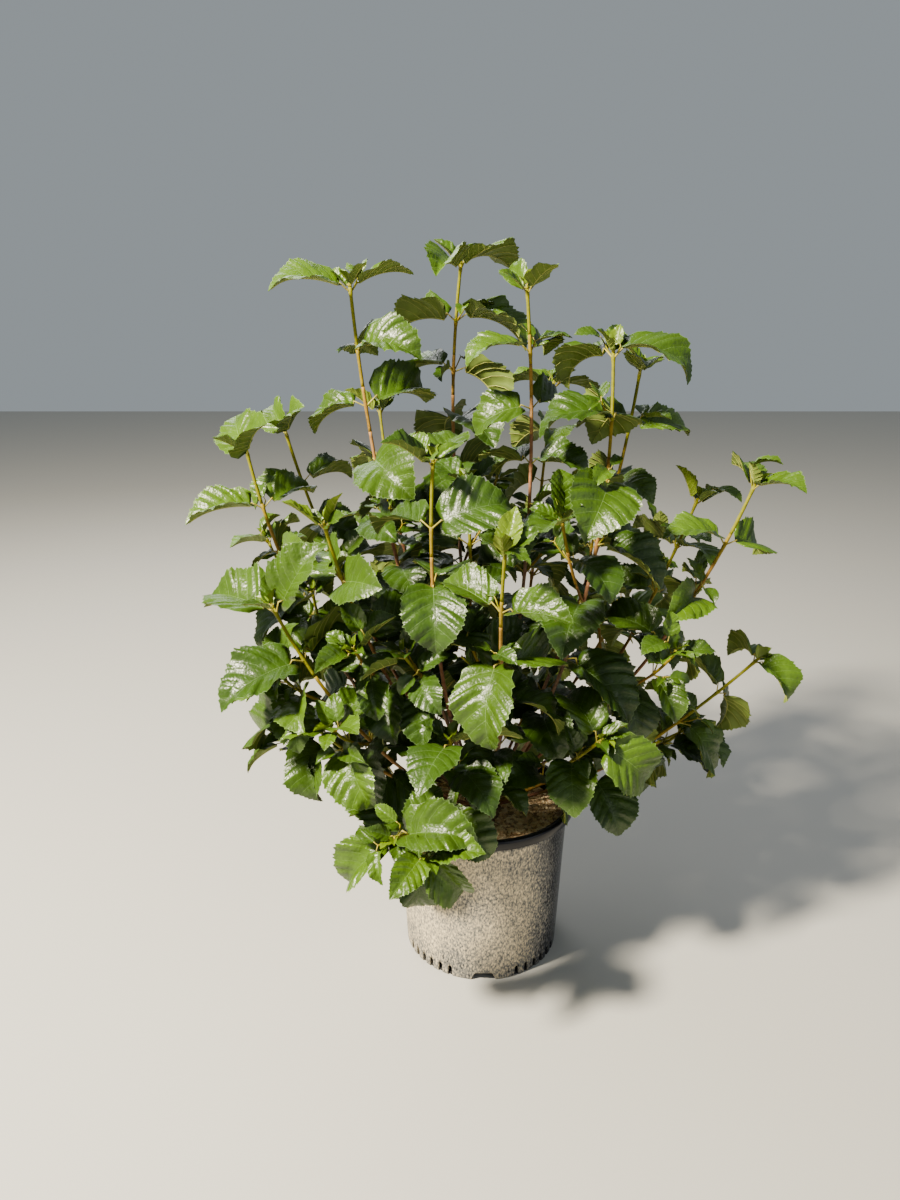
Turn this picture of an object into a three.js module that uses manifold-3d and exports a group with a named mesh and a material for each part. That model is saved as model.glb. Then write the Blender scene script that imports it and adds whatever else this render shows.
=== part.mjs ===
// A potted arrowwood viburnum: a nursery shrub of many canes in a black plastic pot.
// Millimetres, +Z up. The origin is the middle of the pot's flat underside, and -Y is the front.
import * as THREE from 'three';
import { mergeVertices } from 'three/addons/utils/BufferGeometryUtils.js';
import Module from 'manifold-3d';

const wasm = await Module();
wasm.setup();

// Driving dimensions of the pot
const POT_HEIGHT = 250;
const POT_FOOT_RADIUS = 118;
const POT_BODY_RADIUS = 129;
const POT_LIP_RADIUS = 140;
const POT_LIP_HEIGHT = 15;
const POT_WALL = 2.6;
const POT_FLOOR = 3.5;
const POT_SIDES = 40;
const DRAIN_COUNT = 4;
const DRAIN_WIDTH = 38;
const DRAIN_HEIGHT = 13;
const DRAIN_DEPTH = 16;
const FLUTES_PER_QUARTER = 6;
const FLUTE_PITCH_DEG = 8;
const FLUTE_WIDTH = 4.6;
const FLUTE_HEIGHT = 12;
const FLUTE_DEPTH = 1.6;

// Driving dimensions of the plant
const GAP = 0.3;
const GRID = 0.02;
const SOIL_TOP = 216;
const CROWN_RADIUS = 26;
const CROWN_FLARE = 34;
const CROWN_SIDES = 16;
const CANE_SIDES = 6;
const CANE_STEPS = 4;
const SHOOT_SIDES = 4;
const SHOOT_STEPS = 5;
const TWIG_SIDES = 3;
const TWIG_STEPS = 2;
const CANE_TIP_RADIUS = 2.8;
const CANE_FOOT_RADIUS = 2.6;
const CANE_THICKENING = 0.0014;
const FLATTER_DEG = 15;
const FLATTEST_DEG = 84;
const TALL = 600;
const LEAST_ANGLE = 22;
const SPREAD_ROUNDS = 80;
const CANE_BULGE = 0.5;
const CANE_SWAY = 9;
const TWIG_RADIUS = 2.5;
const BUD = 7;
const STALK_HALF_WIDTH = 1.1;
const STALK_TAPER = 0.75;
const LEAF_KEEL = 1.3;
const BROAD_OUTLINE = [[0.3, 1], [0.7, 0.64]];
const SMALL_OUTLINE = [[0.4, 1]];
const PAIR_SPACING = 76;
const CLOSER = 0.8;
const SHORT_CANE = 250;
const LONG_CANE = 400;
const CROWDING = 0.85;
const BARE_LENGTH = 58;
const BARE_SHARE = 0.08;
const SMALL_LEAF = 80;
const CROWN_REACH = 250;
const LEAN_OUT = 0.5;
const LEAN_TO_SUN = [-0.15, -0.4, 0];
const CLEARANCE = 1;
const TRIES = 6;

// Each cane: its name, the place of its tip, the length of a full-grown leaf, the size of its last pair against
// that, how far that pair hangs, the turn of that pair about the cane, how many side shoots it has, and the seed
// of its leaves.
const CANES = [
  ['left_tall', [-181, 20, 984], 98, 0.95, 0.4, 100, 1, 46],
  ['centre_rear', [-35, 90, 1015], 106, 1, 0.6, 20, 1, 0],
  ['centre_tall', [48, -20, 980], 88, 0.7, 0.4, 40, 1, 75],
  ['left_outer', [-320, -30, 778], 92, 0.85, 0.1, 20, 1, 88],
  ['left_rear', [-285, 70, 790], 80, 0.8, 0.1, 20, 1, 16],
  ['middle_left', [-71, -120, 777], 96, 0.8, 0.1, 80, 1, 41],
  ['middle', [-28, -50, 735], 84, 0.7, 0.3, 90, 0, 0],
  ['front_centre', [15, -200, 680], 110, 0.45, 0.1, 60, 1, 61],
  ['front_left', [-205, -140, 700], 98, 0.5, 0.1, 60, 1, 11],
  ['left_low', [-277, -130, 590], 108, 1, 0.1, 60, 2, 72],
  ['left_lowest', [-262, -110, 440], 100, 1, 1, 60, 1, 49],
  ['front_low_left', [-118, -245, 326], 104, 1, 0.7, 40, 1, 51],
  ['front_low', [-50, -165, 420], 104, 0.9, 0.4, 60, 0, 53],
  ['front_low_right', [148, -150, 411], 92, 1, 1, 100, 0, 3],
  ['right_tall', [158, -40, 904], 114, 1, 1, 140, 1, 51],
  ['right_tall_rear', [213, 55, 875], 90, 0.8, 0.4, 0, 1, 0],
  ['right_rear', [325, 120, 680], 84, 0.6, 0.3, 90, 1, 0],
  ['right_outer', [349, -60, 737], 90, 0.8, 0.4, 20, 1, 13],
  ['right_low', [392, -20, 476], 86, 0.9, 1, 20, 1, 36],
  ['right_lowest', [325, 50, 335], 80, 0.9, 0.7, 0, 0, 0],
  ['rear_left', [-165, 270, 800], 92, 0.6, 0.4, 0, 1, 0],
  ['rear_right', [120, 285, 840], 96, 0.9, 0.7, 45, 1, 0],
  ['rear_left_outer', [-345, 190, 600], 88, 0.8, 0.5, 0, 0, 0],
  ['rear_right_outer', [310, 280, 590], 88, 0.8, 0.5, 0, 0, 0],
  ['rear_low_left', [-190, 350, 470], 92, 0.9, 0.6, 0, 0, 0],
  ['rear_low', [10, 350, 600], 96, 0.7, 0.6, 0, 1, 0],
  ['rear_low_right', [170, 345, 420], 90, 0.9, 0.7, 0, 0, 0],
].map(([name, tip, leaf, last, hang, turn, shoots, seed]) => (
  { name, tip, leaf, last, hang, turn, shoots, seed }
));

const POT_COLOUR = 0x2b2b2c;
const SOIL_COLOUR = 0x6b4a30;
const BARK_COLOUR = 0x7a5a3e;
const CANE_COLOUR = 0xa9713f;
const LEAF_COLOUR = 0x4a7a26;

const UP = new THREE.Vector3(0, 0, 1);
const rad = THREE.MathUtils.degToRad;
const lerp = THREE.MathUtils.lerp;

// A repeatable number from 0 to 1 for a pair of whole numbers.
function noise(a, b) {
  const s = Math.sin(a * 12.9898 + b * 78.233) * 43758.5453;
  return s - Math.floor(s);
}

// A closed three.js geometry as a solid.
function solidOf(geometry) {
  const bare = geometry.clone();
  bare.deleteAttribute('normal');
  bare.deleteAttribute('uv');
  const merged = mergeVertices(bare, 1e-4);
  return new wasm.Manifold(new wasm.Mesh({
    numProp: 3,
    vertProperties: new Float32Array(merged.attributes.position.array),
    triVerts: new Uint32Array(merged.index.array),
  }));
}

// A solid's surface, with its points on a fine grid so that no two are nearly alike.
function geometryOf(solid) {
  const mesh = solid.getMesh();
  const snapped = Float32Array.from(mesh.vertProperties, (v) => Math.round(v / GRID) * GRID);
  const loose = new THREE.BufferGeometry();
  loose.setAttribute('position', new THREE.BufferAttribute(snapped, 3));
  loose.setIndex(new THREE.BufferAttribute(new Uint32Array(mesh.triVerts), 1));
  const geometry = mergeVertices(loose, GRID / 4);
  const faces = [];
  for (let i = 0; i < geometry.index.count; i += 3) {
    const [a, b, c] = geometry.index.array.slice(i, i + 3);
    if (a !== b && b !== c && c !== a) faces.push(a, b, c);
  }
  geometry.setIndex(faces);
  geometry.computeVertexNormals();
  return geometry;
}

// Joins rings of points into one closed skin. A ring of one point closes an end, and so does a flat cap.
function loft(rings) {
  const points = rings.flat();
  const starts = rings.map((ring, i) => rings.slice(0, i).reduce((sum, r) => sum + r.length, 0));
  const faces = [];
  rings.slice(1).forEach((ring, i) => {
    const [a, b, below] = [starts[i], starts[i + 1], rings[i]];
    const n = Math.max(ring.length, below.length);
    for (let j = 0; j < n; j += 1) {
      const k = (j + 1) % n;
      if (below.length > 1) faces.push(a + j, a + k, ring.length > 1 ? b + k : b);
      if (ring.length > 1) faces.push(below.length > 1 ? a + j : a, b + k, b + j);
    }
  });
  const [first, last] = [starts[0], starts.at(-1)];
  for (let j = 1; j < rings[0].length - 1; j += 1) faces.push(first, first + j + 1, first + j);
  for (let j = 1; j < rings.at(-1).length - 1; j += 1) faces.push(last, last + j, last + j + 1);
  const geometry = new THREE.BufferGeometry();
  geometry.setAttribute('position', new THREE.Float32BufferAttribute(points.flatMap((p) => p.toArray()), 3));
  geometry.setIndex(faces);
  return geometry;
}

function node(name, geometry, colour, roughness) {
  const look = { color: colour, roughness, metalness: 0, flatShading: true };
  const mesh = new THREE.Mesh(geometry, new THREE.MeshStandardMaterial(look));
  mesh.name = name;
  return mesh;
}

// Whether every edge of a surface is shared by just two of its faces.
function isClean(geometry) {
  const uses = new Map();
  const index = geometry.index.array;
  for (let i = 0; i < index.length; i += 3) {
    for (let j = 0; j < 3; j += 1) {
      const [a, b] = [index[i + j], index[i + ((j + 1) % 3)]];
      const edge = Math.min(a, b) * 1e6 + Math.max(a, b);
      uses.set(edge, (uses.get(edge) ?? 0) + 1);
    }
  }
  return [...uses.values()].every((n) => n === 2);
}

// Joins a piece to a mass, or gives nothing where the join would leave a pinched edge.
function joined(mass, piece) {
  const whole = mass.add(piece);
  return isClean(geometryOf(whole)) ? whole : null;
}

// A solid of revolution about Z from points of radius and height.
function turned(profile, sides) {
  const geometry = new THREE.LatheGeometry(profile.map(([r, z]) => new THREE.Vector2(r, z)), sides);
  return solidOf(geometry.rotateX(Math.PI / 2));
}

// The pot: a tapered wall with a rolled lip, a flat floor, and drain holes and flutes round its lower edge.
function wallRadius(z) {
  return lerp(POT_FOOT_RADIUS, POT_BODY_RADIUS, z / (POT_HEIGHT - POT_LIP_HEIGHT));
}

function pot() {
  const lipFoot = POT_HEIGHT - POT_LIP_HEIGHT;
  const inner = (z) => wallRadius(z) - POT_WALL;
  let body = turned([
    [0, 0],
    [POT_FOOT_RADIUS - 3, 0],
    [POT_FOOT_RADIUS, 4],
    [wallRadius(lipFoot), lipFoot],
    [POT_LIP_RADIUS - 2, lipFoot],
    [POT_LIP_RADIUS, lipFoot + 3],
    [POT_LIP_RADIUS, POT_HEIGHT - 4],
    [POT_LIP_RADIUS - 4, POT_HEIGHT],
    [inner(POT_HEIGHT) + 2, POT_HEIGHT],
    [inner(lipFoot), lipFoot],
    [inner(POT_FLOOR), POT_FLOOR],
    [0, POT_FLOOR],
  ], POT_SIDES);
  for (let i = 0; i < DRAIN_COUNT; i += 1) {
    const middle = (i * 360) / DRAIN_COUNT - 90;
    body = body.subtract(drainCutter(middle));
    for (let j = 0; j < FLUTES_PER_QUARTER; j += 1) {
      const aside = (j - (FLUTES_PER_QUARTER - 1) / 2) * FLUTE_PITCH_DEG;
      body = body.subtract(fluteCutter(middle + 180 / DRAIN_COUNT + aside));
    }
  }
  return node('pot', geometryOf(body), POT_COLOUR, 0.7);
}

// A drain hole is wider at the ground than at its top.
function drainCutter(angle) {
  const shape = new THREE.Shape([
    new THREE.Vector2(-DRAIN_WIDTH / 2, -1),
    new THREE.Vector2(DRAIN_WIDTH / 2, -1),
    new THREE.Vector2(DRAIN_WIDTH / 3, DRAIN_HEIGHT),
    new THREE.Vector2(-DRAIN_WIDTH / 3, DRAIN_HEIGHT),
  ]);
  const cutter = new THREE.ExtrudeGeometry(shape, { depth: DRAIN_DEPTH + 4, bevelEnabled: false });
  cutter.rotateX(Math.PI / 2);
  cutter.translate(0, DRAIN_DEPTH + 4, 0);
  cutter.translate(0, POT_FOOT_RADIUS - DRAIN_DEPTH, 0);
  return solidOf(cutter.rotateZ(rad(angle - 90)));
}

function fluteCutter(angle) {
  const cutter = new THREE.BoxGeometry(2 * FLUTE_DEPTH, FLUTE_WIDTH, FLUTE_HEIGHT + 1);
  cutter.translate(POT_FOOT_RADIUS + FLUTE_DEPTH * 0.4, 0, (FLUTE_HEIGHT - 1) / 2);
  return solidOf(cutter.rotateZ(rad(angle)));
}

// Potting mix fills the pot to a little under its lip.
function pottingMix() {
  const inner = (z) => wallRadius(z) - POT_WALL - GAP;
  const foot = POT_FLOOR + GAP;
  const profile = [[0, foot], [inner(foot), foot], [inner(SOIL_TOP), SOIL_TOP], [0, SOIL_TOP]];
  return node('potting_mix', geometryOf(turned(profile, POT_SIDES)), SOIL_COLOUR, 1);
}

// The short woody foot that the canes spring from, cut flat at the soil.
function rootCrown() {
  const foot = SOIL_TOP + GAP;
  const profile = [[0, foot], [CROWN_FLARE, foot], [CROWN_RADIUS, foot + 7]];
  const steps = 5;
  for (let i = 1; i < steps; i += 1) {
    const a = (i / steps) * (Math.PI / 2);
    profile.push([CROWN_RADIUS * Math.cos(a), foot + 7 + CROWN_RADIUS * Math.sin(a)]);
  }
  profile.push([0, foot + 7 + CROWN_RADIUS]);
  return node('root_crown', geometryOf(turned(profile, CROWN_SIDES)), BARK_COLOUR, 0.9);
}

const CROWN_HEART = new THREE.Vector3(0, 0, SOIL_TOP + GAP + 7);

// A cane springs square from the root crown, and a tall one leaves it flatter than its tip would ask.
function leaving(cane) {
  const reach = new THREE.Vector3(...cane.tip).sub(CROWN_HEART);
  const level = Math.hypot(reach.x, reach.y);
  const flatter = rad(FLATTER_DEG) * THREE.MathUtils.smoothstep(reach.z, 0, TALL);
  const lean = Math.min(Math.atan2(level, reach.z) + flatter, rad(FLATTEST_DEG));
  const out = new THREE.Vector3(reach.x / level, reach.y / level, 0);
  return out.multiplyScalar(Math.sin(lean)).addScaledVector(UP, Math.cos(lean));
}

// Turns the directions in which canes leave until no two are closer than the least angle.
function spreadApart(directions) {
  for (let round = 0; round < SPREAD_ROUNDS; round += 1) {
    directions.forEach((a, i) => directions.slice(i + 1).forEach((b) => {
      const short = rad(LEAST_ANGLE) - a.angleTo(b);
      if (short > 0) {
        const push = a.clone().sub(b).setLength(0.55 * short);
        a.add(push).normalize();
        b.sub(push).normalize();
      }
    }));
    directions.forEach((a) => a.setZ(Math.max(a.z, Math.cos(rad(FLATTEST_DEG)))).normalize());
  }
  return directions;
}

// From its foot a cane curves up to its tip, with a little sway.
function canePath(cane, leave, key) {
  const tip = new THREE.Vector3(...cane.tip);
  const out = new THREE.Vector3(leave.x, leave.y, 0).normalize();
  const foot = CROWN_HEART.clone().addScaledVector(leave, CROWN_RADIUS + GAP);
  const bend = foot.clone().addScaledVector(leave, CANE_BULGE * foot.distanceTo(tip));
  const side = new THREE.Vector3(-out.y, out.x, 0);
  const sway = (noise(key, 3) - 0.5) * 2 * CANE_SWAY;
  const line = new THREE.QuadraticBezierCurve3(foot, bend, tip);
  return (t) => line.getPoint(t).addScaledVector(side, sway * Math.sin(2 * Math.PI * t) * t);
}

// Replaces a smooth path by straight runs, so that what is set on the path is inside the tube along it.
function straightRuns(path, from, steps) {
  const stops = Array.from({ length: steps + 1 }, (_, i) => path(lerp(from, 1, i / steps)));
  return (t) => {
    if (t <= from) return path(t);
    const at = ((t - from) / (1 - from)) * steps;
    const i = Math.min(Math.floor(at), steps - 1);
    return stops[i].clone().lerp(stops[i + 1], at - i);
  };
}

function tangentOf(path, t) {
  const step = 1e-3;
  return path(Math.min(t + step, 1)).sub(path(Math.max(t - step, 0))).normalize();
}

// Two directions across a shoot: one level, and one that points up as far as the shoot's lean allows.
function across(along) {
  const level = new THREE.Vector3().crossVectors(UP, along);
  if (level.length() < 0.05) level.set(1, 0, 0);
  level.normalize();
  return [level, new THREE.Vector3().crossVectors(along, level).normalize()];
}

function roundTube(path, radius, from, to, steps, sides, bud) {
  const rings = [];
  for (let i = 0; i <= steps; i += 1) {
    const t = lerp(from, to, i / steps);
    const [level, upward] = across(tangentOf(path, t));
    const ring = [];
    for (let j = 0; j < sides; j += 1) {
      const a = (j / sides) * 2 * Math.PI;
      ring.push(path(t)
        .addScaledVector(level, radius(t) * Math.cos(a))
        .addScaledVector(upward, radius(t) * Math.sin(a)));
    }
    rings.push(ring);
  }
  if (bud) rings.push([path(to).addScaledVector(tangentOf(path, to), BUD)]);
  return solidOf(loft(rings));
}

// The leafy length of a cane, or a side shoot, as the rule for leaves sees it.
function mainShoot(cane, leave, index) {
  const key = 1000 * (index + 1);
  const curve = canePath(cane, leave, key);
  const length = curve(0).distanceTo(curve(1));
  const from = BARE_LENGTH / length + BARE_SHARE;
  const footRadius = CANE_FOOT_RADIUS + CANE_THICKENING * length;
  const spacing = PAIR_SPACING * lerp(CLOSER, 1, THREE.MathUtils.smoothstep(length, SHORT_CANE, LONG_CANE));
  return {
    path: straightRuns(curve, from, SHOOT_STEPS),
    key: key + cane.seed,
    length,
    radius: (t) => lerp(footRadius, CANE_TIP_RADIUS, t ** 0.8),
    from,
    pairs: Math.max(2, Math.round(((1 - from) * length) / spacing)),
    leaf: cane.leaf,
    last: cane.last,
    hang: cane.hang,
    turn: cane.turn,
    mass: index,
  };
}

function nodeAt(shoot, k) {
  const last = 1 - BUD / shoot.length;
  return lerp(shoot.from, last, ((k + 0.55) / (shoot.pairs - 0.45)) ** CROWDING);
}

// A side shoot leaves the axil of a leaf in the lower part of its cane and turns up towards the light.
function sideShoot(cane, parent, j) {
  const k = Math.round(((j + 0.4) / cane.shoots) * 0.6 * parent.pairs);
  const t = nodeAt(parent, k);
  const key = parent.key + 400 + 100 * j;
  const along = tangentOf(parent.path, t);
  const [level, upward] = across(along);
  const turned = 90 * (parent.pairs - 1 - k) + 180 * Math.round(noise(key, 4)) + 30 * (noise(key, 1) - 0.5);
  const a = rad(parent.turn + turned);
  const out = level.clone().multiplyScalar(Math.cos(a)).addScaledVector(upward, Math.sin(a));
  const leave = along.clone().multiplyScalar(0.75).addScaledVector(out, 0.75).normalize();
  const length = lerp(90, 150, noise(key, 2)) * (1.15 - 0.4 * t);
  const foot = parent.path(t);
  const bend = foot.clone().addScaledVector(leave, 0.5 * length);
  const tip = foot.clone().addScaledVector(leave, 0.85 * length).addScaledVector(UP, 0.3 * length);
  const line = new THREE.QuadraticBezierCurve3(foot, bend, tip);
  return {
    path: straightRuns((u) => line.getPoint(u), 0, TWIG_STEPS),
    key,
    length,
    radius: () => TWIG_RADIUS,
    from: 0.3,
    pairs: 2,
    leaf: 0.84 * parent.leaf,
    last: 0.7,
    hang: 0.4,
    turn: 360 * noise(key, 5),
    mass: parent.mass,
  };
}

// The size and pose of one leaf. A later try turns it a little further from where it would stand. Small last
// leaves stand up, and the lowest hang the most.
function leafForm(shoot, k, side, attempt) {
  const key = shoot.key + 8 * k + 3 * side;
  const n = (i) => noise(key, i + 11 * attempt);
  const fromTip = shoot.pairs - 1 - k;
  const grown = [shoot.last, lerp(shoot.last, 1, 0.7)][fromTip] ?? 1;
  const young = THREE.MathUtils.clamp((0.85 - grown) / 0.35, 0, 1);
  const length = shoot.leaf * grown * lerp(0.86, 1.12, noise(key, 90)) * (1 - 0.04 * attempt);
  const t = nodeAt(shoot, k);
  const along = tangentOf(shoot.path, t);
  const [level, upward] = across(along);
  const a = rad(shoot.turn + 90 * fromTip + 180 * side + (n(1) - 0.5) * (24 + 30 * attempt));
  const out = level.clone().multiplyScalar(Math.cos(a)).addScaledVector(upward, Math.sin(a));
  const nearTip = [1, 0.5][fromTip] ?? 0;
  const lift = rad(lerp(lerp(lerp(48, 72, n(2)), 46, nearTip), 24, young));
  const hang = lerp(lerp(80, 124, n(3)), lerp(30, 115, shoot.hang), nearTip);
  return {
    foot: shoot.path(t),
    leave: along.clone().multiplyScalar(Math.cos(lift)).addScaledVector(out, Math.sin(lift)),
    out,
    outline: length > SMALL_LEAF ? BROAD_OUTLINE : SMALL_OUTLINE,
    adult: 1 - young,
    length,
    width: length * lerp(0.72, 0.88, noise(key, 91)) * (1 - 0.25 * young),
    petiole: shoot.radius(t) + 5 + 0.14 * length,
    droop: rad(lerp(hang, 14, young)),
    roll: rad((n(4) - 0.5) * (56 + 16 * attempt)),
  };
}

// Where the blade's midrib and its upper side lie: s runs from the blade's base to its tip. The upper side
// turns up and out of the crown, towards the light.
function leafFrame(form) {
  const outward = new THREE.Vector3(form.foot.x, form.foot.y, 0).divideScalar(CROWN_REACH).clampLength(0, 1);
  const lean = new THREE.Vector3(...LEAN_TO_SUN).addScaledVector(outward, LEAN_OUT);
  const side = new THREE.Vector3().crossVectors(lean.multiplyScalar(form.adult).add(UP), form.leave);
  if (side.length() < 0.15) side.crossVectors(UP, form.out);
  side.normalize().applyAxisAngle(form.leave, form.roll);
  const face = new THREE.Vector3().crossVectors(form.leave, side);
  const base = form.foot.clone().addScaledVector(form.leave, form.petiole);
  const [first, last] = [0.3 * form.droop, form.droop];
  const spine = (s) => {
    const angle = lerp(first, last, s);
    const curve = last - first;
    return base.clone()
      .addScaledVector(form.leave, (form.length * (Math.sin(angle) - Math.sin(first))) / curve)
      .addScaledVector(face, (form.length * (Math.cos(angle) - Math.cos(first))) / curve);
  };
  const normal = (s) => {
    const angle = lerp(first, last, s);
    return face.clone().multiplyScalar(Math.cos(angle)).addScaledVector(form.leave, Math.sin(angle));
  };
  return { side, face, spine, normal };
}

// A plain leaf: a stalk sunk in the shoot, and a blade with a flat top and a low keel.
function leafSolid(form, grow = 0) {
  const { side, face, spine, normal } = leafFrame(form);
  const ring = (centre, up, half, keel) => [
    centre.clone().addScaledVector(side, half + grow).addScaledVector(up, grow),
    centre.clone().addScaledVector(side, -half - grow).addScaledVector(up, grow),
    centre.clone().addScaledVector(up, -keel - grow),
  ];
  const tip = spine(1 + (3 * grow) / form.length);
  const rings = [
    ring(form.foot, face, STALK_TAPER * STALK_HALF_WIDTH, STALK_TAPER * LEAF_KEEL),
    ring(spine(0), face, STALK_HALF_WIDTH, LEAF_KEEL),
    ...form.outline.map(([s, share]) => ring(spine(s), normal(s), (share * form.width) / 2, LEAF_KEEL)),
    [tip.addScaledVector(normal(1), -0.3)],
  ];
  return { whole: solidOf(loft(rings)), blade: solidOf(loft(rings.slice(1))) };
}

function boxesMeet(a, b) {
  return [0, 1, 2].every((i) => a.min[i] <= b.max[i] && b.min[i] <= a.max[i]);
}

// Everything placed so far, for asking what a new leaf or shoot would touch.
class Space {
  constructor() {
    this.items = [];
  }

  add(solid, mass) {
    this.items.push({ solid, mass, box: solid.boundingBox() });
  }

  touches(solid, isOther) {
    const box = solid.boundingBox();
    return this.items.some((item) => isOther(item.mass)
      && boxesMeet(box, item.box)
      && !item.solid.intersect(solid).isEmpty());
  }
}

function grow() {
  const plant = new THREE.Group();
  const space = new Space();
  const fixed = [pot(), pottingMix(), rootCrown()];
  fixed.forEach((mesh) => {
    plant.add(mesh);
    space.add(solidOf(mesh.geometry), -1);
  });

  const directions = spreadApart(CANES.map(leaving));
  const shoots = CANES.map((cane, i) => mainShoot(cane, directions[i], i));
  const masses = shoots.map((shoot, i) => {
    const { path, radius, from, length } = shoot;
    const bough = roundTube(path, radius, 0, from, CANE_STEPS, CANE_SIDES);
    plant.add(node(`cane_${CANES[i].name}`, geometryOf(bough), CANE_COLOUR, 0.8));
    space.add(bough, -1);
    const stem = roundTube(path, radius, from + GAP / length, 1, SHOOT_STEPS, SHOOT_SIDES, true);
    space.add(stem, i);
    return stem;
  });

  const twigs = [];
  CANES.forEach((cane, i) => {
    for (let j = 0; j < cane.shoots; j += 1) {
      const shoot = sideShoot(cane, shoots[i], j);
      const twig = roundTube(shoot.path, shoot.radius, 0, 1, TWIG_STEPS, TWIG_SIDES, true);
      const mass = space.touches(twig, (other) => other !== i) ? null : joined(masses[i], twig);
      if (mass) {
        space.add(twig, i);
        masses[i] = mass;
        twigs.push(shoot);
      }
    }
  });

  // Leaves are placed from the tips of all shoots down, so that what shows is kept.
  const leafy = [...shoots, ...twigs];
  const mostPairs = Math.max(...leafy.map((shoot) => shoot.pairs));
  for (let fromTip = 0; fromTip < mostPairs; fromTip += 1) {
    leafy.filter((shoot) => fromTip < shoot.pairs).forEach((shoot) => {
      for (let side = 0; side < 2; side += 1) {
        placeLeaf(space, masses, shoot, shoot.pairs - 1 - fromTip, side);
      }
    });
  }
  masses.forEach((mass, i) => {
    plant.add(node(`leaves_${CANES[i].name}`, geometryOf(mass), LEAF_COLOUR, 0.5));
  });
  return plant;
}

// Sets one leaf on its shoot, or leaves it out where every pose would touch something.
function placeLeaf(space, masses, shoot, k, side) {
  for (let attempt = 0; attempt < TRIES; attempt += 1) {
    const form = leafForm(shoot, k, side, attempt);
    const grown = leafSolid(form, CLEARANCE);
    const blocked = space.touches(grown.whole, (other) => other !== shoot.mass)
      || space.touches(grown.blade, (other) => other === shoot.mass);
    const leaf = leafSolid(form).whole;
    const mass = blocked ? null : joined(masses[shoot.mass], leaf);
    if (mass) {
      space.add(leaf, shoot.mass);
      masses[shoot.mass] = mass;
      return;
    }
  }
}

const shrub = grow();
shrub.name = 'potted_arrowwood_viburnum';

export default shrub;
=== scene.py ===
"""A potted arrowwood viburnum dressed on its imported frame: +Z up, -Y towards the camera.

Growth is worked out in millimetres, by the rule of the part's source, and turned to metres in each piece.
"""
from collections import defaultdict
from math import acos, atan2, cos, hypot, pi, radians, sin, sqrt, tan
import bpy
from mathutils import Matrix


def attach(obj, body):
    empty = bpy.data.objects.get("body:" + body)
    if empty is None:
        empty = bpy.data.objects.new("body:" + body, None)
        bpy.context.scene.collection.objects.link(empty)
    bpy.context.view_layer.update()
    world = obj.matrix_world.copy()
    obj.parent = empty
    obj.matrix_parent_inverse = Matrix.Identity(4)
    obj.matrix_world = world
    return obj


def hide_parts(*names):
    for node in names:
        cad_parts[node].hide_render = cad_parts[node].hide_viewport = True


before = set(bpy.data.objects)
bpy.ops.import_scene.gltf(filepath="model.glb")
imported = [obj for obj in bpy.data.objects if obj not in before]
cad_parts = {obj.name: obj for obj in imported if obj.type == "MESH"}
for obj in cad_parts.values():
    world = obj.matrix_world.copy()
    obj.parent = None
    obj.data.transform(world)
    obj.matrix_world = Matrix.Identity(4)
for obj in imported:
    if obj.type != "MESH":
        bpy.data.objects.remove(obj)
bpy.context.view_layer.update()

from types import SimpleNamespace

import bpy
import numpy as np
from mathutils import Vector
from mathutils.bvhtree import BVHTree
from numpy.linalg import norm

MM = 0.001

# Driving dimensions of the pot
POT_HEIGHT = 250
POT_FOOT_RADIUS = 118
POT_BODY_RADIUS = 129
POT_LIP_RADIUS = 140
POT_LIP_HEIGHT = 15
LIP_UNDERSIDE = [(-2.2, 0.1), (-0.7, 0.9), (0, 3), (0.1, 7)]
LIP_TOP = [(0, -4), (-1, -1.4), (-3.2, -0.1), (-6.5, 0), (-9.6, -1.2)]
POT_WALL = 2.6
POT_FLOOR = 3.5
DRAIN_COUNT = 4
DRAIN_WIDTH = 38
DRAIN_HEIGHT = 13
DRAIN_DEPTH = 16
FLUTES_PER_QUARTER = 6
FLUTE_PITCH_DEG = 8
FLUTE_WIDTH = 6.8
FLUTE_HEIGHT = 18
LEDGE_FOOT = 15
LEDGE_TOP = 24
POT_COLUMNS = 576
SOIL_COLUMNS = 120

# Driving dimensions of the plant, as in the source
GAP = 0.3
SOIL_TOP = 216
CROWN_RADIUS = 26
CROWN_FLARE = 34
CROWN_EDGE = 7
CANE_TIP_RADIUS = 2.8
CANE_FOOT_RADIUS = 2.6
CANE_THICKENING = 0.0014
FLATTER_DEG = 15
FLATTEST_DEG = 84
TALL = 600
LEAST_ANGLE = 22
SPREAD_ROUNDS = 80
CANE_BULGE = 0.5
CANE_SWAY = 9
SHOOT_STEPS = 5
TWIG_STEPS = 2
TWIG_RADIUS = 2.5
TWIG_LENGTH = (90, 150)
TWIG_LEAF = 0.84
BUD = 7
STALK_HALF_WIDTH = 1.1
STALK_TAPER = 0.75
LEAF_KEEL = 1.3
BROAD_OUTLINE = [(0.3, 1), (0.7, 0.64)]
SMALL_OUTLINE = [(0.4, 1)]
PAIR_SPACING = 76
CLOSER = 0.8
SHORT_CANE = 250
LONG_CANE = 400
CROWDING = 0.85
BARE_LENGTH = 58
BARE_SHARE = 0.08
SMALL_LEAF = 80
LEAF_VARIETY = (0.86, 1.12)
LEAF_WIDTH = (0.72, 0.88)
LIFT_DEG = (48, 72)
TIP_LIFT_DEG = 46
YOUNG_LIFT_DEG = 24
HANG_DEG = (80, 124)
TIP_HANG_DEG = (30, 115)
YOUNG_HANG_DEG = 14
CROWN_REACH = 250
LEAN_OUT = 0.5
LEAN_TO_SUN = np.array([-0.15, -0.4, 0])
CLEARANCE = 1
TRIES = 6

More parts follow.
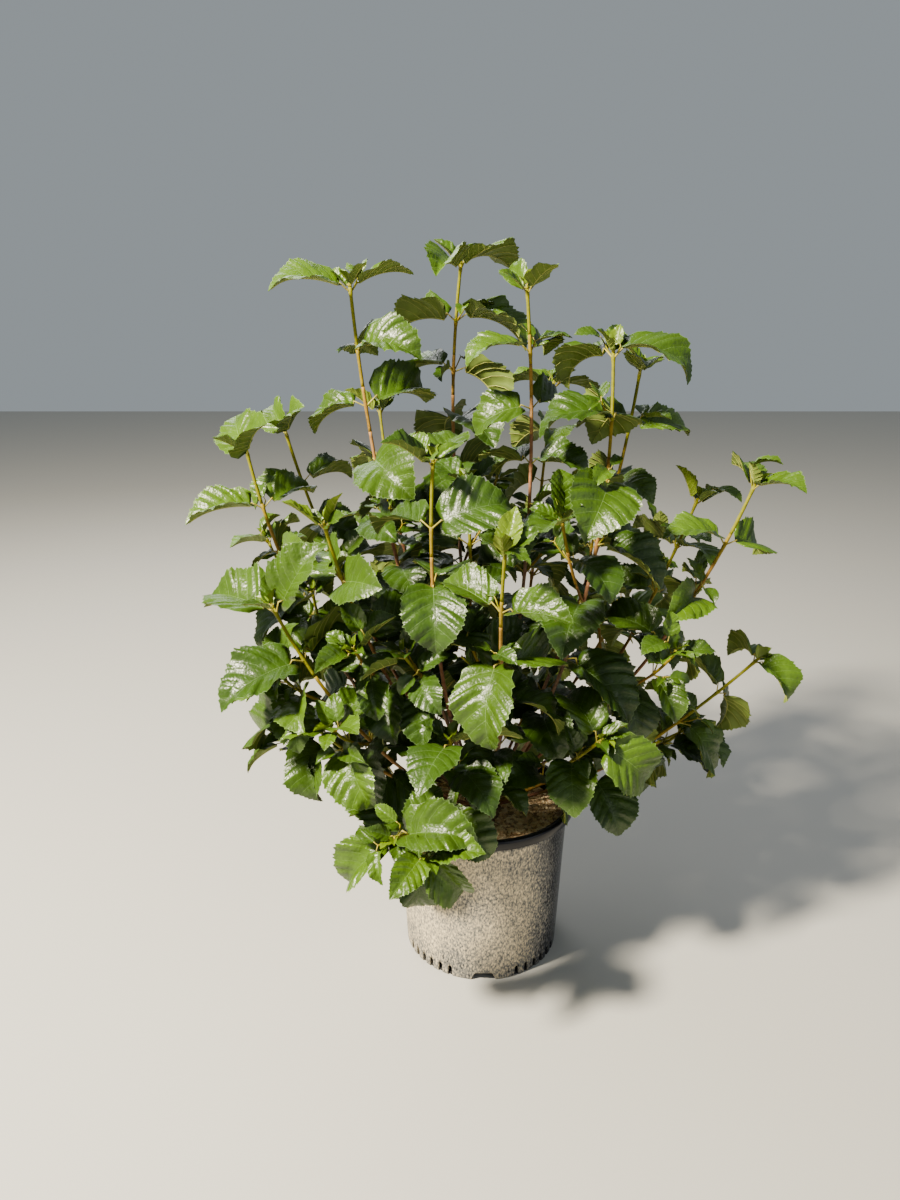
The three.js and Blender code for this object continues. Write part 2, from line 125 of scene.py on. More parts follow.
# Each cane: its name, the place of its tip, the length of a full-grown leaf, the size of its last pair
# against that, how far that pair hangs, its turn about the cane, the count of side shoots, and a seed.
CANES = [
    ("left_tall", (-181, 20, 984), 98, 0.95, 0.4, 100, 1, 46),
    ("centre_rear", (-35, 90, 1015), 106, 1, 0.6, 20, 1, 0),
    ("centre_tall", (48, -20, 980), 88, 0.7, 0.4, 40, 1, 75),
    ("left_outer", (-320, -30, 778), 92, 0.85, 0.1, 20, 1, 88),
    ("left_rear", (-285, 70, 790), 80, 0.8, 0.1, 20, 1, 16),
    ("middle_left", (-71, -120, 777), 96, 0.8, 0.1, 80, 1, 41),
    ("middle", (-28, -50, 735), 84, 0.7, 0.3, 90, 0, 0),
    ("front_centre", (15, -200, 680), 110, 0.45, 0.1, 60, 1, 61),
    ("front_left", (-205, -140, 700), 98, 0.5, 0.1, 60, 1, 11),
    ("left_low", (-277, -130, 590), 108, 1, 0.1, 60, 2, 72),
    ("left_lowest", (-262, -110, 440), 100, 1, 1, 60, 1, 49),
    ("front_low_left", (-118, -245, 326), 104, 1, 0.7, 40, 1, 51),
    ("front_low", (-50, -165, 420), 104, 0.9, 0.4, 60, 0, 53),
    ("front_low_right", (148, -150, 411), 92, 1, 1, 100, 0, 3),
    ("right_tall", (158, -40, 904), 114, 1, 1, 140, 1, 51),
    ("right_tall_rear", (213, 55, 875), 90, 0.8, 0.4, 0, 1, 0),
    ("right_rear", (325, 120, 680), 84, 0.6, 0.3, 90, 1, 0),
    ("right_outer", (349, -60, 737), 90, 0.8, 0.4, 20, 1, 13),
    ("right_low", (392, -20, 476), 86, 0.9, 1, 20, 1, 36),
    ("right_lowest", (325, 50, 335), 80, 0.9, 0.7, 0, 0, 0),
    ("rear_left", (-165, 270, 800), 92, 0.6, 0.4, 0, 1, 0),
    ("rear_right", (120, 285, 840), 96, 0.9, 0.7, 45, 1, 0),
    ("rear_left_outer", (-345, 190, 600), 88, 0.8, 0.5, 0, 0, 0),
    ("rear_right_outer", (310, 280, 590), 88, 0.8, 0.5, 0, 0, 0),
    ("rear_low_left", (-190, 350, 470), 92, 0.9, 0.6, 0, 0, 0),
    ("rear_low", (10, 350, 600), 96, 0.7, 0.6, 0, 1, 0),
    ("rear_low_right", (170, 345, 420), 90, 0.9, 0.7, 0, 0, 0),
]

# Blades. By kind: pleats, rows to a pleat, and rows in the fan at the base
LEAF_ROWS = {"broad": (6, 5, 4), "small": (5, 4, 2), "tiny": (3, 2, 2)}
BROAD_LENGTH = 62
TINY_LENGTH = 34
BLADE_COLUMNS = np.array([-1, -0.7, -0.35, 0, 0.35, 0.7, 1])
MIDRIB = 3
LEAF_THICKNESS = 0.5
SLENDER = 0.95
FOLD_DEG = (14, 54)
YOUNG_FOLD_DEG = 5
TWIST = 0.6
TOOTH_HOOK = 0.4
RUFFLE_WAVES = 2.1

# Shares of a blade's length
FAN_END = 0.26
TOOTH = 0.039
BASE_LOBE = 0.085
VEIN_BOW = 0.028
PLEAT = 0.042
RUFFLE = 0.042
TIP_CURL = 0.12

# Unfolding pairs round a bud: share of a full leaf, lift in degrees, and depth below the tip
TIP_PAIRS = [(0.4, 30, 2), (0.22, 14, -3)]
SPUR_SHARE = 0.5
SPUR_LENGTH = (8, 34)
SPUR_LEAF = (22, 50)
SPUR_RADIUS = 1.3

# Stems and loose bark
STEM_SLIMNESS = 0.8
NODE_SWELLING = 0.3
NODE_LENGTH = 3.2
SIDE_STEM_LENGTH = 200
SIDE_STEM_AGE = 70
TUBE_HINT = np.array([0.8, 0.6, 0.1])
CHIP_COUNT = 3600
MIX_SEED = 11

# The crown's rounded body. From its shell inwards the leaves are painted darker in tone, as painted shade
CROWN_MIDDLE = np.array([0, 30, 420])
CROWN_HALF = np.array([330, 300, 560])
YOUNG_BELOW = 0.45
OUTER_LIT_ABOVE = 0.95
HALF_SHADED_ABOVE = 0.7
UNDER_TINTS = {"young": "young", "deep_shaded": "shaded"}

# Camera and studio, in metres
CAMERA_PLACE = (-0.050, -1.229, 0.9525)
CAMERA_DOWN_DEG = 17.72
CAMERA_LENS = 27.03
CAMERA_SENSOR = 36
LIGHTS = [
    ("key_light", (-1.95, -1.4, 2.85), 0.4, 640, (1, 0.90, 0.70)),
    ("fill_light", (2.2, -2.0, 1.5), 2.5, 12, (1, 1, 1)),
    ("back_light", (-0.9, 2.2, 2.4), 1.8, 40, (1, 1, 1)),
]
LIT_POINT = Vector((0, 0, 0.5))
FLOOR_HALF = 8
FLOOR_COLOUR = (0.43, 0.42, 0.395, 1)
SKY_COLOUR = (0.84, 0.94, 1.0, 1)
SKY_STRENGTH = 0.34

UP = np.array([0.0, 0.0, 1.0])


# Small sums

def lerp(a, b, t):
    return a + (b - a) * t


def clamp(x, low=0.0, high=1.0):
    return max(low, min(high, x))


def smoothstep(x, low, high):
    t = clamp((x - low) / (high - low))
    return t * t * (3 - 2 * t)


def unit(v):
    return v / norm(v)


def turned(v, axis, angle):
    """A vector, or rows of vectors, turned about a unit axis."""
    cosine, sine = cos(angle), sin(angle)
    along_axis = (v @ axis)[..., None] * axis
    return v * cosine + np.cross(axis, v) * sine + along_axis * (1 - cosine)


def noise(a, b):
    """A repeatable number from 0 to 1 for a pair of whole numbers."""
    return sin(a * 12.9898 + b * 78.233) * 43758.5453 % 1


# The growth rule

CROWN_HEART = np.array([0, 0, SOIL_TOP + GAP + CROWN_EDGE])


def leaving(tip):
    """The direction in which a cane springs from the root crown."""
    reach = np.array(tip) - CROWN_HEART
    level = hypot(reach[0], reach[1])
    flatter = radians(FLATTER_DEG) * smoothstep(reach[2], 0, TALL)
    lean = min(atan2(level, reach[2]) + flatter, radians(FLATTEST_DEG))
    return np.array([reach[0] / level, reach[1] / level, 0]) * sin(lean) + UP * cos(lean)


def push_apart(directions, i, j):
    """Turns two directions apart if they are closer than the least angle."""
    a, b = directions[i], directions[j]
    short = radians(LEAST_ANGLE) - acos(clamp(a @ b, -1, 1))
    if short > 0:
        push = unit(a - b) * 0.55 * short
        directions[i] = unit(a + push)
        directions[j] = unit(b - push)


def spread_apart(directions):
    """Turns the directions until no two are closer than the least angle."""
    lowest = cos(radians(FLATTEST_DEG))
    for _ in range(SPREAD_ROUNDS):
        for i in range(len(directions)):
            for j in range(i + 1, len(directions)):
                push_apart(directions, i, j)
        for d in directions:
            d[2] = max(d[2], lowest)
            d /= norm(d)
    return directions


def bezier(foot, bend, tip):
    return lambda t: (1 - t) ** 2 * foot + 2 * t * (1 - t) * bend + t * t * tip


def cane_path(tip, leave, key):
    """From its foot a cane curves up to its tip, with a little sway."""
    tip = np.array(tip, float)
    out = unit(leave * (1, 1, 0))
    foot = CROWN_HEART + leave * (CROWN_RADIUS + GAP)
    bend = foot + leave * CANE_BULGE * norm(tip - foot)
    side = np.array([-out[1], out[0], 0])
    sway = (noise(key, 3) - 0.5) * 2 * CANE_SWAY
    line = bezier(foot, bend, tip)
    return lambda t: line(t) + side * sway * sin(2 * pi * t) * t


def straight_runs(path, start, steps):
    """A path whose leafy part has straight runs, as in the source."""
    stops = [path(lerp(start, 1, i / steps)) for i in range(steps + 1)]

    def runs(t):
        if t <= start:
            return path(t)
        at = (t - start) / (1 - start) * steps
        i = min(int(at), steps - 1)
        return lerp(stops[i], stops[i + 1], at - i)
    return runs


def tangent_of(path, t):
    return unit(path(min(t + 1e-3, 1)) - path(max(t - 1e-3, 0)))


def around(along, angle):
    """A direction square to a shoot, turned about it from the level."""
    level = np.cross(UP, along)
    if norm(level) < 0.05:
        level = np.array([1.0, 0, 0])
    level = unit(level)
    return level * cos(angle) + unit(np.cross(along, level)) * sin(angle)


def main_shoot(cane, leave, index):
    _, tip, leaf, last, hang, turn, _, seed = cane
    key = 1000 * (index + 1)
    curve = cane_path(tip, leave, key)
    length = norm(curve(1) - curve(0))
    start = BARE_LENGTH / length + BARE_SHARE
    foot_radius = CANE_FOOT_RADIUS + CANE_THICKENING * length
    spacing = PAIR_SPACING * lerp(CLOSER, 1, smoothstep(length, SHORT_CANE, LONG_CANE))
    return SimpleNamespace(
        path=straight_runs(curve, start, SHOOT_STEPS),
        radius=lambda t: lerp(foot_radius, CANE_TIP_RADIUS, t ** 0.8),
        pairs=max(2, int((1 - start) * length / spacing + 0.5)),
        key=key + seed, mass=index,
        curve=curve, length=length, start=start,
        leaf=leaf, last=last, hang=hang, turn=turn,
    )


def node_at(shoot, k):
    """Where pair k stands, as a share of its shoot."""
    return lerp(shoot.start, 1 - BUD / shoot.length, ((k + 0.55) / (shoot.pairs - 0.45)) ** CROWDING)


def side_shoot(count, parent, j):
    """A side shoot leaves the axil of a leaf and turns up towards the light."""
    k = int((j + 0.4) / count * 0.6 * parent.pairs + 0.5)
    t = node_at(parent, k)
    key = parent.key + 400 + 100 * j
    along = tangent_of(parent.path, t)
    turn = 90 * (parent.pairs - 1 - k) + 180 * int(noise(key, 4) + 0.5) + 30 * (noise(key, 1) - 0.5)
    leave = unit(along * 0.75 + around(along, radians(parent.turn + turn)) * 0.75)
    length = lerp(*TWIG_LENGTH, noise(key, 2)) * (1.15 - 0.4 * t)
    foot = parent.path(t)
    curve = bezier(foot, foot + leave * 0.5 * length, foot + leave * 0.85 * length + UP * 0.3 * length)
    return SimpleNamespace(
        path=straight_runs(curve, 0, TWIG_STEPS),
        radius=lambda t: TWIG_RADIUS,
        pairs=2,
        key=key, mass=parent.mass,
        curve=curve, length=length, start=0.3,
        leaf=TWIG_LEAF * parent.leaf, last=0.7, hang=0.4, turn=360 * noise(key, 5),
    )


def pair_angle(shoot, from_tip, side, stray):
    """The turn of a leaf about its shoot. Pairs stand crosswise."""
    return radians(shoot.turn + 90 * from_tip + 180 * side + stray)


def posed(key, foot, root, along, out, lift, hang, roll, **size):
    """A leaf, lifted, hung and rolled by so many degrees."""
    lift = radians(lift)
    return SimpleNamespace(
        key=key, foot=foot, root=root, out=out,
        leave=along * cos(lift) + out * sin(lift),
        droop=radians(hang), roll=radians(roll), **size,
    )


def leaf_form(shoot, k, side, attempt):
    """The size and pose of one leaf. Each further try turns it a little."""
    key = shoot.key + 8 * k + 3 * side
    n = [noise(key, i + 11 * attempt) for i in range(5)]
    from_tip = shoot.pairs - 1 - k
    grown = {0: shoot.last, 1: lerp(shoot.last, 1, 0.7)}.get(from_tip, 1)
    young = clamp((0.85 - grown) / 0.35)
    length = shoot.leaf * grown * lerp(*LEAF_VARIETY, noise(key, 90)) * (1 - 0.04 * attempt)
    t = node_at(shoot, k)
    along = tangent_of(shoot.path, t)
    out = around(along, pair_angle(shoot, from_tip, side, (n[1] - 0.5) * (24 + 30 * attempt)))
    near_tip = {0: 1, 1: 0.5}.get(from_tip, 0)
    lift = lerp(lerp(*LIFT_DEG, n[2]), TIP_LIFT_DEG, near_tip)
    hang = lerp(lerp(*HANG_DEG, n[3]), lerp(*TIP_HANG_DEG, shoot.hang), near_tip)
    return posed(
        key, shoot.path(t), shoot.curve(t), along, out,
        lerp(lift, YOUNG_LIFT_DEG, young), lerp(hang, YOUNG_HANG_DEG, young),
        (n[4] - 0.5) * (56 + 16 * attempt),
        outline=BROAD_OUTLINE if length > SMALL_LEAF else SMALL_OUTLINE,
        adult=1 - young, length=length, spray=shoot.key,
        width=length * lerp(*LEAF_WIDTH, noise(key, 91)) * (1 - 0.25 * young),
        petiole=shoot.radius(t) + 5 + 0.14 * length,
    )


class LeafFrame:
    """Where a blade's midrib and its upper side lie. s runs from base to tip."""

    def __init__(self, form):
        outward = form.foot * (1, 1, 0) / CROWN_REACH
        outward /= max(1, norm(outward))
        lean = (LEAN_TO_SUN + outward * LEAN_OUT) * form.adult + UP
        side = np.cross(lean, form.leave)
        if norm(side) < 0.15:
            side = np.cross(UP, form.out)
        self.leave = form.leave
        self.side = turned(unit(side), form.leave, form.roll)
        self.face = np.cross(form.leave, self.side)
        self.base = form.foot + form.leave * form.petiole
        self.first, self.last = 0.3 * form.droop, form.droop
        self.length = form.length

    def angle(self, s):
        return lerp(self.first, self.last, np.asarray(s, float))[..., None]

    def spine(self, s):
        a, scale = self.angle(s), self.length / (self.last - self.first)
        ahead = np.sin(a) - sin(self.first)
        down = np.cos(a) - cos(self.first)
        return self.base + (self.leave * ahead + self.face * down) * scale

    def normal(self, s):
        a = self.angle(s)
        return self.face * np.cos(a) + self.leave * np.sin(a)


# Plain bodies, for asking what a new leaf or shoot would touch

class Body:
    """A closed form and its box."""

    def __init__(self, points, faces):
        points = np.asarray(points)
        self.tree = BVHTree.FromPolygons(points.tolist(), faces)
        self.low, self.high = points.min(0), points.max(0)


def ring_faces(rings, sides, pointed):
    """Faces of a skin of equal rings, which may end in one point."""
    faces = [tuple(range(sides))]
    for i in range(rings - 1):
        for j in range(sides):
            k = (j + 1) % sides
            a, b = i * sides, (i + 1) * sides
            faces.append((a + j, a + k, b + k))
            faces.append((a + j, b + k, b + j))
    top = (rings - 1) * sides
    if pointed:
        faces.extend((top + j, top + (j + 1) % sides, rings * sides) for j in range(sides))
    else:
        faces.append(tuple(range(top, top + sides)))
    return faces


def plain_tube(shoot, start, end, steps, sides, bud):
    path = shoot.path
    points = []
    for i in range(steps + 1):
        t = lerp(start, end, i / steps)
        along = tangent_of(path, t)
        for j in range(sides):
            points.append(path(t) + around(along, j / sides * 2 * pi) * shoot.radius(t))
    if bud:
        points.append(path(end) + tangent_of(path, end) * BUD)
    return Body(points, ring_faces(steps + 1, sides, bud))


def plain_leaf(form, grow):
    """The source's leaf, whole and without its stalk."""
    at = LeafFrame(form)
    points = []

    def ring(centre, up, half, keel):
        points.append(centre + at.side * (half + grow) + up * grow)
        points.append(centre - at.side * (half + grow) + up * grow)
        points.append(centre - up * (keel + grow))

    ring(form.foot, at.face, STALK_TAPER * STALK_HALF_WIDTH, STALK_TAPER * LEAF_KEEL)
    ring(at.spine(0), at.face, STALK_HALF_WIDTH, LEAF_KEEL)
    for s, share in form.outline:
        ring(at.spine(s), at.normal(s), share * form.width / 2, LEAF_KEEL)
    points.append(at.spine(1 + 3 * grow / form.length) - at.normal(1) * 0.3)
    rings = 2 + len(form.outline)
    return Body(points, ring_faces(rings, 3, True)), Body(points[3:], ring_faces(rings - 1, 3, True))


class Space:
    """Everything placed so far, each with the number of its mass."""

    def __init__(self):
        self.bodies, self.low, self.high, self.mass = [], [], [], []

    def add(self, body, mass):
        self.bodies.append(body)
        self.low.append(body.low)
        self.high.append(body.high)
        self.mass.append(mass)

    def touches(self, body, mass=None, other_than=None):
        near = np.all((np.array(self.low) <= body.high) & (body.low <= np.array(self.high)), axis=1)
        if mass is not None:
            near &= np.array(self.mass) == mass
        if other_than is not None:
            near &= np.array(self.mass) != other_than
        return any(self.bodies[i].tree.overlap(body.tree) for i in np.flatnonzero(near))


def frame_body(node):
    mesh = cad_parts[node].data
    return Body([v.co / MM for v in mesh.vertices], [tuple(p.vertices) for p in mesh.polygons])


def grow_stems(space):
    for node in ("pot", "potting_mix", "root_crown"):
        space.add(frame_body(node), -1)
    directions = spread_apart([leaving(cane[1]) for cane in CANES])
    shoots = [main_shoot(cane, directions[i], i) for i, cane in enumerate(CANES)]
    for i, s in enumerate(shoots):
        space.add(plain_tube(s, 0, s.start, 4, 6, False), -1)
        space.add(plain_tube(s, s.start + GAP / s.length, 1, SHOOT_STEPS, 4, True), i)
    twigs = []
    for i, cane in enumerate(CANES):
        for j in range(cane[6]):
            shoot = side_shoot(cane[6], shoots[i], j)
            body = plain_tube(shoot, 0, 1, TWIG_STEPS, 3, True)
            if not space.touches(body, other_than=i):
                space.add(body, i)
                twigs.append(shoot)
    return shoots, twigs


def place_leaf(space, shoot, k, side):
    for attempt in range(TRIES):
        form = leaf_form(shoot, k, side, attempt)
        whole, blade = plain_leaf(form, CLEARANCE)
        if not space.touches(whole, other_than=shoot.mass) and not space.touches(blade, mass=shoot.mass):
            space.add(plain_leaf(form, 0)[0], shoot.mass)
            return form
    return None


def grow_leaves(space, leafy):
    """Places leaves from all tips down, so that what shows is kept."""
    forms = []
    for from_tip in range(max(shoot.pairs for shoot in leafy)):
        for shoot in leafy:
            if from_tip < shoot.pairs:
                for side in range(2):
                    forms.append(place_leaf(space, shoot, shoot.pairs - 1 - from_tip, side))
    return [form for form in forms if form]


# Finer growth: unfolding leaves round each bud, and short leafy spurs in the axils

def small_form(key, root, along, out, lift, hang, length, adult):
    return posed(
        key, root, root, along, out, lift, hang, (noise(key, 42) - 0.5) * 50,
        outline=SMALL_OUTLINE,
        adult=adult, length=length, spray=key // 1000 * 1000,
        width=length * lerp(0.55, 0.75, noise(key, 41)),
        petiole=3 + 0.12 * length,
    )


def tip_forms(shoot):
    """Two crossed pairs of small leaves that unfold round the bud of a shoot."""
    along = tangent_of(shoot.curve, 1)
    forms = []
    for pair, (share, lift, back) in enumerate(TIP_PAIRS):
        root = shoot.curve(1) - along * back
        for side in range(2):
            key = shoot.key + 900 + 10 * pair + side
            out = around(along, pair_angle(shoot, pair + 1, side, 30 * noise(key, 1)))
            length = shoot.leaf * share * lerp(0.8, 1.15, noise(key, 2))
            raised, hang = lift + 12 * noise(key, 3), 12 + 26 * noise(key, 4)
            adult = 0.3 if pair else 0.5
            forms.append(small_form(key, root, along, out, raised, hang, length, adult))
    return forms


def spur_of(shoot, k, side):
    """A spur in the axil of a leaf, with its one pair of small leaves."""
    key = shoot.key + 600 + 8 * k + 3 * side
    t = node_at(shoot, k)
    along = tangent_of(shoot.curve, t)
    a = pair_angle(shoot, shoot.pairs - 1 - k, side, 40 * (noise(key, 1) - 0.5))
    leave = unit(along + around(along, a) * 0.9)
    length = lerp(*SPUR_LENGTH, noise(key, 2) ** 1.5)
    foot = shoot.curve(t)
    tip = foot + leave * length + UP * 0.2 * length
    spur = SimpleNamespace(
        curve=bezier(foot, foot + leave * 0.5 * length, tip),
        radius=lambda t: SPUR_RADIUS,
        key=key, length=length, start=0, pairs=0,
    )
    end = tangent_of(spur.curve, 1)
    raised, hang = 38 + 20 * noise(key, 7), 30 + 50 * noise(key, 8)
    forms = []
    for pair in range(2):
        out = around(end, a + pi / 2 + pi * pair)
        size = lerp(*SPUR_LEAF, noise(key, 5 + pair))
        forms.append(small_form(key + pair, tip, end, out, raised, hang, size, 0.8))
    return spur, forms


def place_small(space, forms, mass):
    """Keeps those small leaves that touch nothing."""
    kept = []
    for form in forms:
        blade = plain_leaf(form, CLEARANCE / 2)[1]
        if not space.touches(blade):
            space.add(blade, mass)
            kept.append(form)
    return kept


def grow_spurs(space, leafy):
    spurs, forms = [], []
    for shoot in leafy:
        for k in range(shoot.pairs):
            for side in range(2):
                spur, pair = spur_of(shoot, k, side)
                grown = noise(spur.key, 9) <= SPUR_SHARE
                kept = place_small(space, pair, shoot.mass) if grown else []
                if kept:
                    spurs.append(spur)
                    forms.extend(kept)
    return spurs, forms


# Skins

class Skin:
    """Points and faces of one joined piece."""

    def __init__(self):
        self.points, self.faces, self.count = [], [], 0

    def add(self, points, faces):
        points = np.asarray(points, float).reshape(-1, 3)
        self.points.append(points)
        self.faces.extend((np.asarray(faces) + self.count).tolist())
        self.count += len(points)

    def add_rings(self, rings):
        """Adds rings of equally many points, joined one to the next."""
        self.add(np.array(rings), grid_faces(len(rings), len(rings[0]), wrap=True))

    def close(self, indices):
        self.faces.append([i + self.count for i in indices])


def halved(quads):
    """Two triangles for each quad, always cut along the same diagonal."""
    first, second = quads[:, [0, 1, 2]], quads[:, [0, 2, 3]]
    return np.stack([first, second], axis=1).reshape(-1, 3)


def grid_faces(rows, columns, wrap=False, flip=False):
    """Quads of a grid of points, row by row. Rows that wrap close on themselves."""
    j = np.arange(columns if wrap else columns - 1)
    k = (j + 1) % columns
    i = np.arange(rows - 1)[:, None] * columns
    quads = np.stack([i + j, i + k, i + columns + k, i + columns + j], axis=-1).reshape(-1, 4)
    return quads[:, [0, 3, 2, 1]] if flip else quads


def full_turn(count):
    """Equal steps round a circle, in radians."""
    return np.arange(count) / count * 2 * pi


def level_ring(r, angles, z):
    """Points round the upright axis."""
    return np.stack([r * np.cos(angles), r * np.sin(angles), np.broadcast_to(z, angles.shape)], axis=-1)


def sweep(skin, centres, radii, sides, hint):
    """A round tube along a run of points, with flat ends."""
    centres = np.asarray(centres)
    tangents = np.gradient(centres, axis=0)
    tangents /= norm(tangents, axis=1)[:, None]
    a = full_turn(sides)
    side = hint
    rings = []
    for centre, tangent, radius in zip(centres, tangents, radii):
        side = unit(side - tangent * (side @ tangent))
        third = np.cross(tangent, side)
        ring = side * np.cos(a)[:, None] + third * np.sin(a)[:, None]
        rings.append(centre + ring * radius)
    last = (len(rings) - 1) * sides
    skin.close(range(sides - 1, -1, -1))
    skin.close(range(last, last + sides))
    skin.add_rings(rings)


def add_object(name, data):
    thing = bpy.data.objects.new(name, data)
    bpy.context.scene.collection.objects.link(thing)
    return thing


def make_piece(name, skin, material, replaced=(), smooth=True):
    """One object from a skin, in place of the nodes it replaces."""
    mesh = bpy.data.meshes.new(name)
    mesh.from_pydata((np.concatenate(skin.points) * MM).tolist(), [], skin.faces)
    mesh.polygons.foreach_set("use_smooth", [smooth] * len(mesh.polygons))
    mesh.materials.append(material)
    mesh.update()
    piece = add_object(name, mesh)
    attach(piece, "root")
    if replaced:
        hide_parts(*replaced)


# Leaf skins

def leaf_rows(kind):
    """Rows across half a blade: start, end, place within a pleat, teeth, and which of them are veins."""
    pleats, per_pleat, fan = LEAF_ROWS[kind]
    i = np.arange(fan + pleats * per_pleat + 1)
    ribbed = np.clip((i - fan) / (pleats * per_pleat), 0, 1)
    fanned = np.clip(i / fan, 0, 1)
    end = FAN_END * fanned + (1 - FAN_END) * ribbed ** 0.85
    return SimpleNamespace(
        start=0.03 * fanned + 0.955 * ribbed ** 1.25,
        end=np.clip(end, 0.003, 0.997),
        phase=np.where(i < fan, i / fan, (i - fan) / per_pleat % 1),
        tooth=(i + 1) % 2,
        veins=[] if kind == "tiny" else fan + per_pleat * np.arange(pleats),
    )


ROWS = {kind: leaf_rows(kind) for kind in LEAF_ROWS}


def margin_width(v, fullness):
    """A half blade's width against its widest, at a share v of the margin."""
    base, tip = lerp(0.6, 0.4, fullness), 0.78
    widest = base / (base + tip)
    drawn_out = 1 - 0.45 * np.clip((v - 0.62) / 0.35, 0, 1) ** 1.5
    return v ** base * (1 - v) ** tip / (widest ** base * (1 - widest) ** tip) * drawn_out


def fold_of(form):
    """The slope at which each half of a blade rises from its midrib."""
    degrees = lerp(*FOLD_DEG, noise(form.key, 60)) + YOUNG_FOLD_DEG * (1 - form.adult)
    return tan(radians(degrees))


def blade_points(form, at, rows, depth=0.0):
    """Points of a blade: rows from its base to its tip, columns from one margin to the other."""
    n = [noise(form.key, 60 + i) for i in range(9)]
    columns = BLADE_COLUMNS
    reach = np.abs(columns)[None, :]
    start, end, phase = rows.start[:, None], rows.end[:, None], rows.phase[:, None]
    jagged = 0.75 + 0.4 * np.sin(5.3 * np.arange(len(end)) + 9 * n[5])[:, None]
    tooth = TOOTH * jagged * rows.tooth[:, None] * (1 - end) ** 0.3
    margin_x = margin_width(end, n[6]) * SLENDER * form.width / form.length / 2 + tooth
    margin_y = end - BASE_LOBE * np.sin(pi * np.clip(end / 0.15, 0, 1)) + TOOTH_HOOK * tooth
    y = start + reach * (margin_y - start) - VEIN_BOW * np.sin(pi * reach) * (1 - end)
    x = columns[None, :] * margin_x
    fold = fold_of(form)
    x /= sqrt(1 + 0.3 * fold * fold)
    z = fold * np.abs(x) * (1 - lerp(0.2, 0.5, n[4]) * reach) - 0.09 * fold
    taper = np.minimum(1, 4 * (1 - end))
    uneven = 0.45 + 1.1 * np.sin(9 * end + 6 * n[5] + 1.7 * (columns > 0)) ** 2
    swell = PLEAT * lerp(0.5, 1.2, n[8]) * uneven * reach * (2 - 1.3 * reach) * taper
    z += swell * np.abs(np.sin(pi * phase)) ** 0.7
    turn = np.where(columns > 0, n[1], n[2])[None, :]
    wave = RUFFLE * lerp(0.4, 1.2, n[6])
    z += wave * np.sin(2 * pi * (RUFFLE_WAVES * end + turn)) * reach ** 2 * taper
    z -= TIP_CURL * n[7] * np.clip((y - 0.6) / 0.4, 0, 1) ** 2
    depth = depth * (1 - reach ** 2)
    twist = (n[3] - 0.5) * TWIST * np.clip(y, 0, 1)
    normal = at.normal(y)
    cosine, sine = np.cos(twist)[..., None], np.sin(twist)[..., None]
    tilted = at.side * cosine + normal * sine
    raised = normal * cosine - at.side * sine
    height = (z * form.length - depth)[..., None]
    return at.spine(y) + tilted * (x * form.length)[..., None] + raised * height


def surface_normals(grid, at):
    """Unit normals at a blade's points, on its upper side."""
    normals = np.cross(np.gradient(grid, axis=0), np.gradient(grid, axis=1))
    normals /= np.maximum(norm(normals, axis=-1), 1e-9)[..., None]
    upward = np.sign((normals * at.normal(np.linspace(0, 1, len(grid)))[:, None]).sum(-1))
    return normals * upward[..., None]


def add_blade(skins, form, kind):
    at = LeafFrame(form)
    rows = ROWS[kind]
    tint = top_tint(form)
    top = blade_points(form, at, rows)
    under = blade_points(form, at, rows, LEAF_THICKNESS)
    size = top.shape[:2]
    skins["top", tint].add(top, halved(grid_faces(*size, flip=True)))
    skins["under", UNDER_TINTS.get(tint, "grown")].add(under, halved(grid_faces(*size)))
    add_stalk(skins["stalk"], form, at, top[0, MIDRIB])
    normals = surface_normals(top, at)
    lines = skins["vein", tint]
    add_veins((lines, skins["vein", "under"], top, under), form, rows, normals)
    # The pale rims along the margins are a painted highlight.
    if kind != "tiny":
        add_margins(lines, form, top, normals)


def add_stalk(skin, form, at, blade_foot):
    """The stalk, from inside the stem to the blade's base."""
    size = max(0.45, (form.length / 100) ** 0.6)
    centres = [lerp(form.root, at.spine(0.0), t) for t in (0, 0.2, 0.6, 0.9)]
    centres.append(blade_foot - at.normal(0.0) * 0.9 * size)
    sweep(skin, centres, np.array([1.9, 1.25, 1.05, 1.2, 0.9]) * size, 6, at.face)


def towards(line, neighbour, reach):
    """Points on a blade, off a line of its grid by a reach towards the neighbouring line."""
    away = neighbour - line
    gap = np.maximum(norm(away, axis=-1), 1e-6)
    return line + away * np.minimum(reach / gap, 0.9)[..., None]


def add_ridge(skin, left, middle, right, lift, crest, flip):
    """A narrow strip on a blade, with its middle line raised to a crest."""
    strip = np.stack([left + lift, middle + lift * crest, right + lift], axis=1)
    skin.add(strip, grid_faces(len(middle), 3, flip=flip))


def add_vein(sides, line, half, up, lift, crest, flip):
    """A slim line on top and a rib below. line(grid, i) gives its points, or those i lines further on."""
    lines, ribs, top, under = sides
    for skin, grid, reach, raised, rise, turn in (
        (lines, top, half, up * lift, 1, flip),
        (ribs, under, 2 * half, -up * 0.1, crest, not flip),
    ):
        middle = line(grid, 0)
        before, after = (towards(middle, line(grid, i), reach) for i in (-1, 1))
        add_ridge(skin, before, middle, after, raised, rise, turn)


def add_veins(sides, form, rows, normals):
    """The midrib, and in all but tiny leaves the side veins."""
    size = (form.length / 100) ** 0.7
    half = 0.6 * size * np.linspace(1, 0.3, len(normals) - 1)
    up = normals[:-1, MIDRIB]
    add_vein(sides, lambda grid, i: grid[:-1, MIDRIB + i], half, up, 0.15, 11 * size, True)
    half = 0.3 * size * np.linspace(1, 0.4, MIDRIB + 1)
    for row in rows.veins:
        for run, flip in ((slice(MIDRIB, None), False), (slice(MIDRIB, None, -1), True)):
            up = normals[row, run]
            add_vein(sides, lambda grid, i: grid[row + i, run], half, up, 0.12, 6 * size, flip)


